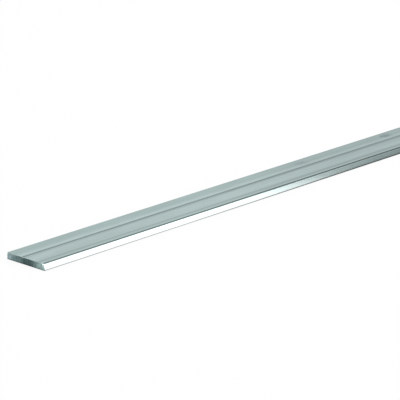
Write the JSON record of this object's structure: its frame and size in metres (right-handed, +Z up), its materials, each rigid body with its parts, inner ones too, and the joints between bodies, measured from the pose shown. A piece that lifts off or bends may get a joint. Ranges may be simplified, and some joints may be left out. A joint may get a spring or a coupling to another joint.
{
  "type": "aluminium extrusion profile",
  "caption": "Straight solid aluminium flat bar with one long edge bevelled under a rounded nose and shallow grooves along its top, sawn square at both ends.",
  "frame": {"origin": "middle of the underside, halfway along the bar", "axes": "+X along the bar, -X towards the sawn end that the picture shows, -Y towards the bevelled edge, +Z up out of the grooved top"},
  "size_m": [1, 0.03, 0.004],
  "materials": {
    "mill_aluminium": "mill finish with fine lengthwise die lines, sawn ends"
  },
  "bodies": {
    "root": {"flat_bar": "mill_aluminium"}
  },
  "joints": []
}
